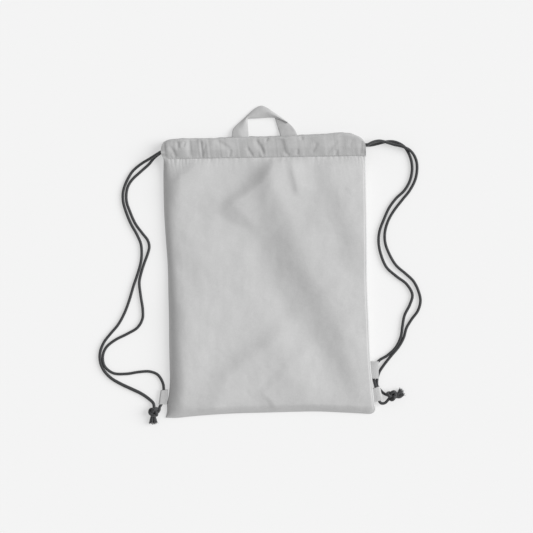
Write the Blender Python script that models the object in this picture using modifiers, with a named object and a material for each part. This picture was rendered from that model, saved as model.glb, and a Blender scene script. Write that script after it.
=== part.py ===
"""A flat drawstring shoe bag, lying on its back with its mouth towards +Y.

Metres, +Z up. The origin is on the surface that the bag lies on, at the middle of the bag. The two panels
meet at the sides and the bottom, each has a flat tube (the drawstring channel) along the mouth, and two
braided cords run through both channels. Each cord turns back at the far corner of the mouth, and its two
ends are knotted together beside a small fabric tab in the side seam.
"""

import math

import bmesh
import bpy
import numpy as np
from mathutils import Matrix, Vector

MM = 0.001
GAP = 0.3 * MM  # clearance between solids that touch on the real bag

# Driving dimensions
FABRIC = 0.8 * MM  # a panel, with its seam allowance
CORD_D = 4.0 * MM  # braided cord
CORD_R = CORD_D / 2
WALL = 0.6 * MM  # wall of a channel or a tab
BORE = CORD_D + 2 * GAP  # inside height of a channel or a tab
TUBE_T = BORE + 2 * WALL  # outside height of a channel or a tab
MOUTH = 4.6 * MM  # gap between the two channels, where things go into the bag
BELLY = 12.5 * MM  # height of the front panel's top face
RIM = 2.2 * MM  # height of the front panel's top face at its sewn edges
CORNER = 1.5 * MM  # outer rounding of a flat tube
LEFT_END, LEFT_HEM = -152.5 * MM, -137.7 * MM  # the left channel ends, from the opening to the seam
RIGHT_END, RIGHT_HEM = 139.8 * MM, 126.2 * MM
KNOT_R = 6.2 * MM
THREAD_R = 0.35 * MM
STEP = 9 * MM  # spacing of a cord's points
LEAD = 2.6 * MM  # its first and last piece, which faces its neighbour squarely

FRONT_Z = TUBE_T + MOUTH  # underside of the front channel
BACK_CORD_Z = TUBE_T / 2
FRONT_CORD_Z = FRONT_Z + TUBE_T / 2

# Outline of the panels and channels, in millimetres: each edge is a smooth line through its points
LEFT_EDGE = [(-203.3, -147), (-189, -145), (-155, -141.4), (-100, -142.2), (-30, -143.3), (20, -144.6),
             (52, -147), (90, -149.4), (125, -150.3), (167, -150.4)]  # (y, x)
RIGHT_EDGE = [(-198.2, 152), (-193.5, 154.3), (-183, 153.3), (-157, 150.3), (-122, 147.2), (-60, 144.6),
              (-10, 142.6), (50, 141.9), (125, 141), (172, 140.4)]  # (y, x)
BOTTOM_EDGE = [(-147, -203.3), (-113, -202.4), (-56, -198), (1, -196.3), (72, -194.8), (134, -197.8),
               (152, -198.2)]  # (x, y)
HEM_LINE = [(-153, 166.9), (141, 171.9)]  # (x, y), lower side of the channels; straight, so that they slide
TOP_EDGE = [(-153, 192.5), (-133, 196.7), (-84.5, 197.6), (1, 200.4), (86, 204), (109, 205.5),
            (126, 202.5), (141, 193)]  # (x, y)

# Routes of the four free strands, in millimetres, each from its channel opening to its knot
LEFT_FRONT_ROUTE = [
    (-153.9, 176.3, 13.3), (-156.6, 176.1, 13.2), (-161, 173.6, 12.2), (-166.4, 170.5, 10.2),
    (-172.4, 167.3, 7.6), (-179.6, 162.7, 4.9), (-187.6, 157.1, 3.1), (-195, 150.2, 2.2),
    (-201.2, 140.6, 2.05), (-206, 130, 2.05), (-208.7, 119, 2.05), (-208.2, 106, 2.05),
    (-204.2, 92, 2.05), (-197, 74.6, 2.05), (-188.8, 60, 2.05), (-183, 46.5, 2.05),
    (-181.7, 32, 2.05), (-183.2, 18.5, 2.05), (-187.6, 3, 2.05), (-193.4, -14, 2.05),
    (-199.6, -35, 2.05), (-206.6, -53.5, 2.05), (-215.6, -70, 2.05), (-227, -83.6, 2.05),
    (-236, -95.4, 2.05), (-241.4, -109, 2.05), (-241.4, -123, 2.05), (-236.4, -135.4, 2.05),
    (-226, -146.6, 2.05), (-211, -155.5, 2.05), (-195.8, -162.6, 2.05), (-182, -169.3, 2.05),
    (-171, -176.9, 2.3), (-165, -182.6, 3.4), (-163.7, -187.4, 4.8)]
LEFT_BACK_ROUTE = [
    (-153.9, 176.3, 2.9), (-156.6, 176, 2.8), (-160.6, 173.1, 2.3), (-165.3, 168.2, 2.05),
    (-171, 161, 2.05), (-182.2, 150.8, 2.05), (-195, 138.9, 2.05), (-200.9, 130, 2.05),
    (-203.7, 119, 2.05), (-203.2, 106, 2.05), (-198.9, 93.4, 2.05), (-191, 75.6, 2.05),
    (-180.8, 61.5, 2.05), (-173.2, 51.6, 2.05), (-170.8, 42, 2.05), (-173.4, 31, 2.05),
    (-178.2, 18, 2.05), (-182.8, 3, 2.05), (-185.1, -9, 2.05), (-183.2, -28, 2.05),
    (-180.2, -48, 2.05), (-180.6, -61.4, 2.05), (-187.6, -74, 2.05), (-201.6, -83.2, 2.05),
    (-219.2, -93, 2.05), (-231.2, -103.6, 2.05), (-236, -116, 2.05), (-232.6, -129.6, 2.05),
    (-221, -138.6, 2.05), (-203.6, -140.7, 2.05), (-185.4, -138, 2.05), (-170, -137.4, 2.05),
    (-158.6, -142, 2.05), (-151.4, -153.6, 2.1), (-149.9, -164, 3.1), (-151.6, -175.4, 3.2),
    (-153.8, -184.9, 3.2), (-155.6, -189.2, 3.9), (-158.5, -192.3, 5.2)]
RIGHT_FRONT_ROUTE = [
    (140.2, 188, 13.3), (142.9, 188.2, 13.2), (147.6, 190.6, 12.1), (154, 193, 10.2),
    (161, 193.8, 8.3), (168, 192.4, 6.8), (181.6, 188.4, 5.6), (189.4, 186.8, 6.3),
    (196.4, 184.4, 6.9), (203.2, 180.9, 5.4), (209.6, 174, 3.1), (213.6, 164.4, 2.1),
    (214.3, 152.4, 2.05), (211.6, 138.4, 2.05), (203.6, 122.8, 2.05), (191.8, 108, 2.05),
    (180.4, 93, 2.05), (172.6, 79, 2.05), (168.1, 63, 2.05), (168.5, 48, 2.05),
    (174, 32.4, 2.05), (184, 15.6, 2.05), (198, 3.3, 2.05), (208.8, -7, 2.05),
    (216, -20.8, 2.05), (219.2, -36, 2.05), (215.4, -50, 2.05), (206.4, -62.4, 2.05),
    (199.4, -75, 2.05), (195.6, -88.4, 2.05), (189.4, -102, 2.05), (178, -116.8, 2.05),
    (166.8, -129, 2.05), (160, -138.8, 2.05), (157.4, -149, 2.05), (158.2, -158.6, 2.05),
    (162.6, -165, 2.05), (166.2, -168.6, 3.0), (169.7, -170.3, 4.8)]
RIGHT_BACK_ROUTE = [
    (140.2, 188, 2.9), (142.9, 187.9, 2.8), (149, 188.3, 2.05), (158, 190.3, 2.05),
    (168, 192.8, 2.05), (178.5, 193.5, 2.05), (188.4, 190.8, 2.05), (196.4, 185.4, 2.05),
    (202, 176.9, 2.05), (206, 166, 2.05), (207.2, 153, 2.05), (204, 137, 2.05),
    (196, 123, 2.05), (184.6, 112, 2.05), (174.4, 98.4, 2.05), (166.4, 81, 2.05),
    (160.4, 64.4, 2.05), (159, 49, 2.05), (162.2, 31.4, 2.05), (170.4, 12.6, 2.05),
    (184.4, -0.2, 2.05), (199.6, -12, 2.05), (207.6, -27, 2.05), (204, -41, 2.05),
    (196.4, -56.4, 2.05), (193.3, -72, 2.05), (190.9, -87, 2.05), (182.8, -102.4, 2.05),
    (170.6, -113.2, 2.05), (159.8, -121.6, 2.05), (153, -131.4, 2.05), (151.7, -142, 2.05),
    (152.1, -147.9, 2.1), (152.9, -152.4, 4.3), (153.9, -157, 6.9), (154.9, -161.4, 7.3),
    (156.8, -169.6, 7.3), (158.9, -178.2, 7.3),
    (162.4, -182.4, 7.2), (167.6, -182, 7.0), (172.4, -177.2, 6.9)]

# Where each cord runs inside the channels: millimetres across the bag at the exit and at the far turn
LEFT_EXIT_Y, LEFT_FRONT_TURN_Y, LEFT_BACK_TURN_Y = 176.3, 183.5, 175.5
RIGHT_EXIT_Y, RIGHT_FRONT_TURN_Y, RIGHT_BACK_TURN_Y = 188, 189.5, 181
LEFT_CORD_TURN_X, RIGHT_CORD_TURN_X = 129.5, -141  # the left cord turns at the right corner

LEFT_KNOT = (-165.5, -194.8, 6.4)
RIGHT_KNOT = (177.2, -171.2, 6.9)
CORD_ENDS = {
    "left_cord_end_a": [(-167.8, -201.3, 5.4), (-169.2, -206.6, 3.6), (-170.4, -211.8, 2.3)],
    "left_cord_end_b": [(-163.2, -201.3, 5.4), (-161.8, -206.4, 3.6), (-160.4, -211.2, 2.3)],
    "right_cord_end_a": [(184.0, -173.3, 5.6), (188.8, -173.2, 3.6), (194.2, -170.2, 2.3)],
    "right_cord_end_b": [(183.6, -168.4, 5.6), (187.6, -166.6, 3.6), (191.4, -162.6, 2.3)],
}

# The handle: a strip folded into an arch, its legs at the channel's edge
HANDLE_T = 3.0 * MM
HANDLE_Z = 0.4 * MM
HANDLE_OUTSIDE = [(-52.4, 200.4), (-51, 209.5), (-46, 216.4), (-37, 225.4), (-25, 237), (-16, 243.6),
                  (-9, 245), (-2, 241.5), (9, 233.4), (21.6, 224.6), (30.5, 218), (36.4, 212), (41.8, 203.4)]
HANDLE_INSIDE = [(17, 202.6), (9.2, 227.2), (-28.9, 226.6), (-27.9, 201)]

# Side label and tabs
LABEL_X, LABEL_Y = (148.4 * MM, 158.7 * MM), (-147.2 * MM, -122.4 * MM)
LABEL_Z = 4.8 * MM  # just over the cord
LABEL_T = 0.8 * MM
LEFT_TAB = [((-155.4, -164.2), (-144.9, -163.8)), ((-157.4, -184.4), (-146.4, -184.6))]
LEFT_TAB_Z = 0.3 * MM
RIGHT_TAB = [((151.7, -160.4), (160.6, -158)), ((154.5, -180.3), (165, -176.8))]
RIGHT_TAB_Z = 4.4 * MM  # one cord passes beneath this tab

GREY = (0.52, 0.525, 0.53)
DARK_GREY = (0.44, 0.445, 0.45)
CHARCOAL = (0.035, 0.036, 0.038)
THREAD_GREY = (0.48, 0.485, 0.49)
LABEL_GREY = (0.42, 0.425, 0.43)


def clear_scene():
    for old in list(bpy.data.objects):
        bpy.data.objects.remove(old)


def new_collection(name):
    made = bpy.data.collections.new(name)
    bpy.context.scene.collection.children.link(made)
    return made


def material(name, colour, roughness):
    made = bpy.data.materials.new(name)
    made.use_nodes = True
    shader = made.node_tree.nodes["Principled BSDF"]
    shader.inputs["Base Color"].default_value = (*colour, 1)
    shader.inputs["Roughness"].default_value = roughness
    shader.inputs["Metallic"].default_value = 0
    return made


def smooth_value(points, at):
    """The second value at a first value, on a smooth line through the points."""
    first = [p[0] for p in points]
    second = [p[1] for p in points]
    slope = np.gradient(second, first)
    i = int(np.clip(np.searchsorted(first, at) - 1, 0, len(first) - 2))
    width = first[i + 1] - first[i]
    t = min(max((at - first[i]) / width, 0), 1)
    return (second[i] * (1 + 2 * t) * (1 - t) ** 2 + slope[i] * width * t * (1 - t) ** 2
            + second[i + 1] * t * t * (3 - 2 * t) + slope[i + 1] * width * t * t * (t - 1))


def edge(points, at):
    """smooth_value for an edge listed in millimetres, asked for and given in metres."""
    return smooth_value(points, at / MM) * MM


def smooth_path(points, step, lead=0):
    """Points about a step apart along a centripetal Catmull-Rom curve through the given points."""
    given = [Vector(p) for p in points]
    given = [2 * given[0] - given[1], *given, 2 * given[-1] - given[-2]]
    knots = [0.0]
    for a, b in zip(given, given[1:]):
        knots.append(knots[-1] + math.sqrt((b - a).length))
    fine = []
    for i in range(1, len(given) - 2):
        for t in np.linspace(knots[i], knots[i + 1], 12, endpoint=False):
            fine.append(catmull_rom(given[i - 1:i + 3], knots[i - 1:i + 3], t))
    fine.append(given[-2])
    run = np.cumsum([0.0, *[(b - a).length for a, b in zip(fine, fine[1:])]])
    count = max(2, round((run[-1] - 2 * lead) / step) + 1)
    places = list(np.linspace(lead, run[-1] - lead, count))
    if lead:
        places = [0, *places, run[-1]]
    return [Vector(np.interp(s, run, [p[k] for p in fine]) for k in range(3)) for s in places]


def catmull_rom(p, k, t):
    a1 = p[0].lerp(p[1], (t - k[0]) / (k[1] - k[0]))
    a2 = p[1].lerp(p[2], (t - k[1]) / (k[2] - k[1]))
    a3 = p[2].lerp(p[3], (t - k[2]) / (k[3] - k[2]))
    b1 = a1.lerp(a2, (t - k[0]) / (k[2] - k[0]))
    b2 = a2.lerp(a3, (t - k[1]) / (k[3] - k[1]))
    return b1.lerp(b2, (t - k[1]) / (k[2] - k[1]))


def add_object(name, data, collection, finish, origin=(0, 0, 0)):
    """An object whose mesh or curve is in world coordinates, moved so that its origin is at a point."""
    made = bpy.data.objects.new(name, data)
    if any(origin):
        data.transform(Matrix.Translation(-Vector(origin)))
        made.location = origin
    data.materials.append(finish)
    collection.objects.link(made)
    return made


def mesh_from(name, form):
    bmesh.ops.recalc_face_normals(form, faces=form.faces)
    data = bpy.data.meshes.new(name)
    form.to_mesh(data)
    form.free()
    return data


def tube(name, points, radius, collection, finish, origin=(0, 0, 0)):
    data = bpy.data.curves.new(name, "CURVE")
    data.dimensions = "3D"
    data.bevel_depth = radius
    data.bevel_resolution = 2
    data.use_fill_caps = True
    line = data.splines.new("POLY")
    line.points.add(len(points) - 1)
    for point, place in zip(line.points, points):
        point.co = (*place, 1)
    return add_object(name, data, collection, finish, origin)


def plate(name, outline, low, thickness, collection, finish, origin=(0, 0, 0)):
    """A flat outline in plan, from a height up."""
    data = bpy.data.curves.new(name, "CURVE")
    data.dimensions = "2D"
    data.fill_mode = "BOTH"
    data.extrude = thickness / 2
    line = data.splines.new("POLY")
    line.points.add(len(outline) - 1)
    for point, (x, y) in zip(line.points, outline):
        point.co = (x, y, 0, 1)
    line.use_cyclic_u = True
    made = add_object(name, data, collection, finish)
    data.transform(Matrix.Translation((-origin[0], -origin[1], 0)))
    made.location = (origin[0], origin[1], low + thickness / 2)
    return made


def ring(a, b, low, high, inset):
    """Points round a flat tube's section, which spans two points in plan and two heights."""
    across = (Vector(b) - Vector(a)).normalized()
    centre = (Vector(a) + Vector(b)) / 2
    half_w = (Vector(b) - Vector(a)).length / 2 - inset
    half_h = (high - low) / 2 - inset
    radius = max(CORNER - inset, 0.4 * MM)
    points = []
    for corner, (sx, sz) in enumerate([(1, 1), (-1, 1), (-1, -1), (1, -1)]):
        for turn in (0, 45, 90):
            angle = math.radians(corner * 90 + turn)
            s = sx * (half_w - radius) + radius * math.cos(angle)
            z = sz * (half_h - radius) + radius * math.sin(angle)
            points.append(Vector((*(centre + across * s), (low + high) / 2 + z)))
    return points


def flat_tube(name, stations, low, collection, finish, origin=(0, 0, 0)):
    """A flat open tube lofted through stations, each two points in plan."""
    form = bmesh.new()
    outer = [[form.verts.new(p) for p in ring(a, b, low, low + TUBE_T, 0)] for a, b in stations]
    inner = [[form.verts.new(p) for p in ring(a, b, low, low + TUBE_T, WALL)] for a, b in stations]
    count = len(outer[0])
    for rings in (outer, inner):
        for this, after in zip(rings, rings[1:]):
            for i in range(count):
                j = (i + 1) % count
                form.faces.new((this[i], this[j], after[j], after[i]))
    for end in (0, -1):
        for i in range(count):
            j = (i + 1) % count
            form.faces.new((outer[end][i], outer[end][j], inner[end][j], inner[end][i]))
    return add_object(name, mesh_from(name, form), collection, finish, origin)


def channel_stations(places):
    return [((x, edge(HEM_LINE, x)), (x, edge(TOP_EDGE, x))) for x in places]


def notch(target, name, low, high, helpers):
    """Cuts a box out of a flat tube's wall, where a cord leaves it sideways."""
    form = bmesh.new()
    bmesh.ops.create_cube(form, size=1)
    size = Vector(high) - Vector(low)
    middle = (Vector(high) + Vector(low)) / 2
    bmesh.ops.transform(form, matrix=Matrix.LocRotScale(middle, None, size), verts=form.verts)
    cutter = bpy.data.objects.new(name, mesh_from(name, form))
    helpers.objects.link(cutter)
    cutter.hide_render = True
    cutter.display_type = "WIRE"
    cut = target.modifiers.new(name, "BOOLEAN")
    cut.operation = "DIFFERENCE"
    cut.object = cutter


def make_back_panel(bag, finish):
    """The lower panel, flat on the surface, up to the hem line of its channel."""
    low_y, high_y = BOTTOM_EDGE[0][1] * MM, edge(HEM_LINE, RIGHT_EDGE[-1][1] * MM) - GAP
    xs = np.linspace(BOTTOM_EDGE[0][0], BOTTOM_EDGE[-1][0], 12) * MM
    outline = [(x, edge(BOTTOM_EDGE, x)) for x in xs]
    ys = np.linspace(RIGHT_EDGE[1][0] * MM, high_y, 12)
    outline += [(edge(RIGHT_EDGE, y), y) for y in ys]
    corner_x = edge(LEFT_EDGE, high_y)
    outline.append((corner_x, edge(HEM_LINE, corner_x) - GAP))
    ys = np.linspace(high_y, low_y, 13)[1:-1]
    outline += [(edge(LEFT_EDGE, y), y) for y in ys]
    plate("back_panel", outline, 0, FABRIC, bag, finish)


def make_front_panel(bag, finish):
    """The upper panel: a shallow tray upside down, open where its channel joins it."""
    columns, rows = 20, 14
    form = bmesh.new()
    bmesh.ops.create_grid(form, x_segments=columns, y_segments=rows, size=1)
    for vert in form.verts:
        across = math.sin(vert.co.x * math.pi / 2)
        up = 1 - math.cos((vert.co.y + 1) / 2 * math.pi / 2)
        x = ((BOTTOM_EDGE[-1][0] + BOTTOM_EDGE[0][0]) / 2 + across * 149) * MM
        low, high = edge(BOTTOM_EDGE, x), edge(HEM_LINE, x) - GAP
        y = low + (high - low) * up
        left, right = edge(LEFT_EDGE, y), edge(RIGHT_EDGE, y)
        rise = (1 - abs(across) ** 10) * (1 - (1 - up) ** 30)
        vert.co = (left + (right - left) * (across + 1) / 2, y, RIM + (BELLY - RIM) * rise)
    data = bpy.data.meshes.new("front_panel")
    form.to_mesh(data)
    form.free()
    panel = add_object("front_panel", data, bag, finish)
    shell = panel.modifiers.new("thickness", "SOLIDIFY")
    shell.thickness = FABRIC
    shell.offset = -1
    shell.use_even_offset = True


def make_channels(bag, helpers, finish):
    """Both channels, each in three nodes: a hemmed end at either side, and the middle that gathers."""
    middle = [LEFT_HEM + GAP, -84.5 * MM, -30 * MM, 10 * MM, 50 * MM, 86 * MM, 109 * MM, RIGHT_HEM - GAP]
    ends = {
        "left": (LEFT_END, (LEFT_END + LEFT_HEM) / 2, LEFT_HEM),
        "right": (RIGHT_HEM, (RIGHT_END + RIGHT_HEM) / 2, RIGHT_END),
    }
    notches = {
        "left": ((LEFT_END - MM, 178.7 * MM), (RIGHT_CORD_TURN_X * MM - 0.5 * MM, 192.1 * MM)),
        "right": ((LEFT_CORD_TURN_X * MM + 0.5 * MM, 173.1 * MM), (RIGHT_END + MM, 185.8 * MM)),
    }
    for face, low, inner in (("front", FRONT_Z, FRONT_Z), ("back", 0, TUBE_T - WALL)):
        flat_tube(f"{face}_channel", channel_stations(middle), low, bag, finish)
        for side, places in ends.items():
            name = f"{face}_channel_end_{side}"
            end = flat_tube(name, channel_stations(places), low, bag, finish)
            near, far = notches[side]
            below, above = inner - 0.2 * MM, inner + WALL + 0.2 * MM
            notch(end, f"{name}_notch", (*near, below), (*far, above), helpers)


def make_handle(bag, finish):
    """Its origin is on its hinge line, at the top face of the strip beside the channel."""
    outline = [(x * MM, y * MM) for x, y in HANDLE_OUTSIDE + HANDLE_INSIDE]
    plate("handle", outline, HANDLE_Z, HANDLE_T, bag, finish, origin=(-5 * MM, 202.6 * MM, 0))


def make_label(bag, finish):
    """A woven strip from the seam out over the cord. Its origin is on its fold line at the seam."""
    root, tip = LABEL_X
    low, high = LABEL_Y
    outline = [(root, low), (tip, low), (tip, high), (root, high)]
    plate("side_label", outline, LABEL_Z, LABEL_T, bag, finish, origin=(root, (low + high) / 2, 0))


def make_tabs(bag, finish):
    """Each tab is a folded strip: a short flat tube that a cord passes through."""
    for name, corners, low in (("left_tab", LEFT_TAB, LEFT_TAB_Z), ("right_tab", RIGHT_TAB, RIGHT_TAB_Z)):
        (a0, b0), (a1, b1) = [tuple(Vector(p) * MM for p in pair) for pair in corners]
        stations = [(a0.lerp(a1, t), b0.lerp(b1, t)) for t in (0, 0.5, 1)]
        flat_tube(name, stations, low, bag, finish)


def in_metres(points):
    return [Vector(p) * MM for p in points]


def make_cords(bag, finish):
    strands = {
        "left_cord_front_strand": LEFT_FRONT_ROUTE,
        "left_cord_back_strand": LEFT_BACK_ROUTE,
        "right_cord_front_strand": RIGHT_FRONT_ROUTE,
        "right_cord_back_strand": RIGHT_BACK_ROUTE,
    }
    for name, route in strands.items():
        tube(name, smooth_path(in_metres(route), STEP, LEAD), CORD_R, bag, finish)
    for side, exit_x, exit_y, turn_x, front_y, back_y in (
        ("left", -153.6, LEFT_EXIT_Y, LEFT_CORD_TURN_X, LEFT_FRONT_TURN_Y, LEFT_BACK_TURN_Y),
        ("right", 139.9, RIGHT_EXIT_Y, RIGHT_CORD_TURN_X, RIGHT_FRONT_TURN_Y, RIGHT_BACK_TURN_Y),
    ):
        out = math.copysign(1, turn_x - exit_x)
        front = Vector((turn_x, front_y, FRONT_CORD_Z / MM)) * MM
        back = Vector((turn_x, back_y, BACK_CORD_Z / MM)) * MM
        for face, turn in (("front", front), ("back", back)):
            start = Vector((exit_x * MM, exit_y * MM, turn.z))
            stop = turn - Vector((out * GAP, 0, 0))
            tube(f"{side}_cord_{face}_run", [start, stop], CORD_R, bag, finish)
        tube(f"{side}_cord_turn", half_circle(front, back, out), CORD_R, bag, finish)
    for name, points in CORD_ENDS.items():
        tube(name, smooth_path(in_metres(points), 3 * MM), CORD_R, bag, finish)
    for name, place in (("left_knot", LEFT_KNOT), ("right_knot", RIGHT_KNOT)):
        form = bmesh.new()
        bmesh.ops.create_uvsphere(form, u_segments=16, v_segments=10, radius=KNOT_R)
        knot = add_object(name, mesh_from(name, form), bag, finish)
        knot.location = Vector(place) * MM


def half_circle(a, b, out):
    """Points of a half circle from a to b that bulges along X, a short straight piece before and after it."""
    middle, arm = (a + b) / 2, (a - b) / 2
    lead = Vector((out * GAP, 0, 0))
    bulge = Vector((out * arm.length, 0, 0))
    turns = np.linspace(0, math.pi, 13)
    return [a, *[middle + lead + arm * math.cos(t) + bulge * math.sin(t) for t in turns], b]


def make_threads(bag, finish):
    """The seam that joins the panels, sewn inside, and the hem line on top of the front channel."""
    inset = 8 * MM
    high_y, low_y = 158 * MM, -193 * MM
    xs = np.linspace(-126, 136, 10) * MM
    down = [(edge(LEFT_EDGE, y) + inset, y) for y in np.linspace(high_y, -180 * MM, 12)]
    along = [(x, edge(BOTTOM_EDGE, x) + inset) for x in xs]
    rise = [(edge(RIGHT_EDGE, y) - inset, y) for y in np.linspace(low_y + 20 * MM, high_y, 12)]
    z = FABRIC + GAP + THREAD_R
    path = smooth_path([(x, y, z) for x, y in down + along + rise], 25 * MM)
    tube("seam_thread", path, THREAD_R, bag, finish)
    z = FRONT_Z + TUBE_T + GAP + THREAD_R
    places = np.linspace(LEFT_HEM + 2 * MM, RIGHT_HEM - 2 * MM, 12)
    path = [(x, edge(HEM_LINE, x) + 2.4 * MM, z) for x in places]
    tube("hem_thread", path, THREAD_R, bag, finish)


def main():
    clear_scene()
    bag = new_collection("shoe_bag")
    helpers = new_collection("cutters")
    fabric = material("fabric", GREY, 0.9)
    channel = material("channel_fabric", DARK_GREY, 0.9)
    cord = material("cord", CHARCOAL, 0.8)
    thread = material("thread", THREAD_GREY, 0.7)
    label = material("label", LABEL_GREY, 0.7)
    make_back_panel(bag, fabric)
    make_front_panel(bag, fabric)
    make_channels(bag, helpers, channel)
    make_handle(bag, channel)
    make_label(bag, label)
    make_tabs(bag, channel)
    make_cords(bag, cord)
    make_threads(bag, thread)


main()
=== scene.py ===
"""Looks of the flat drawstring shoe bag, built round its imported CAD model.

Everything is in the row frame: metres, +Y towards the mouth, +Z up, the bag lying on its back panel.
"""

import math

import bmesh
import bpy
import numpy as np
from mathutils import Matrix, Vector, noise
from mathutils.bvhtree import BVHTree

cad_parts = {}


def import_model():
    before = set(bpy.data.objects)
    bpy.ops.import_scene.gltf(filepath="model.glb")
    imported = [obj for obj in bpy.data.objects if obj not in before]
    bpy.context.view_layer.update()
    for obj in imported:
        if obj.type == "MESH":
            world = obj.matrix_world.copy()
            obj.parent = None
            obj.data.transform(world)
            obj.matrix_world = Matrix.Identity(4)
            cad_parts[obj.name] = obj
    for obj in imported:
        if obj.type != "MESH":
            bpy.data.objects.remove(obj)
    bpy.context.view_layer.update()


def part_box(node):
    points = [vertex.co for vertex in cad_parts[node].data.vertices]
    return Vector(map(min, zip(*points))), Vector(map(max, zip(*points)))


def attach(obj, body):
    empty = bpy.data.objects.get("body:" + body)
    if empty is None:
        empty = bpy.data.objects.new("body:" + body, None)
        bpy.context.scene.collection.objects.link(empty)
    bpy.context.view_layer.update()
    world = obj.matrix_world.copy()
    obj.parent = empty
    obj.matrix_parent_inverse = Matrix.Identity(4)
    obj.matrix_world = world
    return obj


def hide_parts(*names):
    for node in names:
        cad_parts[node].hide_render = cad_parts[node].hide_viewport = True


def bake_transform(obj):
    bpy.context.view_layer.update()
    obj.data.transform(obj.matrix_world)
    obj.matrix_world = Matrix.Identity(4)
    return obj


MM = 0.001

# Cords, as in the CAD model
CORD_D = 4.0
CORD_R = 2.12  # to the tops of the braid, which stand proud of the stated diameter
LEAD_IN = 13  # how far a free strand reaches into its channel
EXITS = {"left": (-153.9, 176.3), "right": (140.2, 188)}  # where the channels open, in plan
INWARD = {"left": 1, "right": -1}  # along x, from the exit
FRONT_CORD_Z, BACK_CORD_Z = 13.3, 2.9
STRAND_STEP, RUN_STEP, KNOT_STEP = 0.62, 0.8, 0.4  # between the rings of the braid
CORD_ON_FLOOR = 2.05  # height of the line of a cord that lies on the floor
# Lines of the free strands from the mouth to their tabs: (x, y, z), or (x, y) on the floor
LEFT_FRONT_ROUTE = [
    (-153.9, 177.2, 13.3), (-157, 175.4, 13.1), (-161, 173.0, 12.2), (-166.4, 169.9, 10.2),
    (-172.4, 166.6, 7.6), (-179.6, 162.7, 4.9), (-187.6, 157.1, 3.1), (-195, 150.2, 2.2),
    (-201.2, 140.6), (-206, 130), (-208.7, 119), (-208.2, 106), (-204.2, 92), (-197, 74.6), (-188.8, 60),
    (-183, 46.5), (-181.7, 32), (-183.2, 18.5), (-187.6, 3), (-193.4, -14), (-199.6, -35),
    (-206.6, -53.5), (-215.6, -70), (-227, -83.6), (-236, -95.4), (-241.4, -109), (-241.4, -123),
    (-236.4, -135.4), (-226, -146.6), (-211, -155.5), (-195.8, -162.6), (-182, -169.3),
    (-171, -176.9, 2.3), (-165, -182.6, 3.4), (-163.7, -187.4, 4.8)]
LEFT_BACK_ROUTE = [
    (-153.9, 177.0, 2.9), (-156.8, 175.4, 2.8), (-160.6, 172.6, 2.3), (-165.3, 168.2), (-171, 161),
    (-182.2, 150.8), (-195, 138.9), (-200.9, 130), (-203.7, 119), (-203.2, 106), (-198.9, 93.4),
    (-191, 75.6), (-180.8, 61.5), (-173.2, 51.6), (-170.8, 42), (-173.4, 31), (-178.2, 18), (-182.8, 3),
    (-185.1, -9), (-183.2, -28), (-180.2, -48), (-180.6, -61.4), (-187.6, -74), (-202, -83),
    (-220.4, -92.4), (-233.2, -103.4), (-237.7, -116), (-234.9, -129.8), (-222.6, -139.6),
    (-203.6, -140.7), (-185.4, -138), (-170, -137.4), (-158.6, -142), (-151.4, -153.6, 2.1),
    (-149.9, -164, 3.1), (-151.6, -175.4, 3.2), (-153.8, -184.9, 3.2), (-155.7, -188.2, 4.2),
    (-156.3, -192.6, 5.6)]
RIGHT_FRONT_ROUTE = [
    (140.2, 188, 13.3), (142.9, 188.2, 13.2), (147.6, 190.6, 12.1), (154, 193, 10.2), (161, 193.8, 8.3),
    (168, 192.4, 6.8), (181.6, 188.4, 5.6), (189.4, 186.8, 6.3), (196.4, 184.4, 6.9),
    (203.2, 180.9, 5.4), (209.6, 174, 3.1), (213.6, 164.4, 2.1), (214.3, 152.4), (211.6, 138.4),
    (203.6, 122.8), (191.8, 108), (180.4, 93), (172.6, 79), (168.1, 63), (168.5, 48), (174, 32.4),
    (184, 15.6), (198, 3.3), (208.8, -7), (216, -20.8), (219.2, -36), (215.4, -50), (206.4, -62.4),
    (199, -75), (195.2, -88.4), (188.2, -101.2, 2.3), (176.6, -115.2, 2.6), (166.4, -128.2, 2.2),
    (159.8, -138.6), (156.8, -149), (157.4, -158.6), (162.6, -165), (166.2, -168.6, 3.0),
    (169.7, -170.3, 4.8)]
RIGHT_BACK_ROUTE = [
    (140.2, 188, 2.9), (142.9, 187.9, 2.8), (149, 188.3), (158, 190.3), (168, 192.8), (178.5, 193.5),
    (188.4, 190.8), (196.4, 185.4), (202, 176.9), (206, 166), (207.2, 153), (204, 137), (196, 123),
    (184.6, 112), (174.4, 98.4), (166.4, 81), (160.4, 64.4), (159, 49), (162.2, 31.4), (170.4, 12.6),
    (184.4, -0.2), (199.6, -12), (207.6, -27), (204, -41), (196.4, -56.4), (193.3, -72), (191.1, -87),
    (184, -102.2), (171.6, -114.2), (159.8, -121.6), (153, -131.4), (151.7, -142), (152.1, -147.9, 2.1),
    (152.9, -152.4, 4.3), (153.9, -157, 6.9), (154.9, -161.4, 7.3), (156.8, -169.6, 7.3),
    (158.9, -178.2, 7.3), (162.4, -182.4, 7.2), (167.6, -182, 7.0), (172.4, -177.2, 6.9)]
# name: route, from where to where it starts to follow its tab, its end inside the knot
STRANDS = {
    "left_cord_front_strand": (LEFT_FRONT_ROUTE, (-195, -150), (-167, -183), (-164, -192, 6)),
    "left_cord_back_strand": (LEFT_BACK_ROUTE, (-150, -141), (-150, -163), (-159.4, -196.8, 6.4)),
    "right_cord_front_strand": (RIGHT_FRONT_ROUTE, (160, -140), (160, -167), (174, -171.2, 6.4)),
    "right_cord_back_strand": (RIGHT_BACK_ROUTE, (153, -142), (153, -161), (175.4, -173.4, 7)),
}
# side: x of the far turn, y of the front and of the back run at the turn
RUNS = {"left": (129.5, 183.5, 175.5), "right": (-141, 189.5, 181)}

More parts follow.
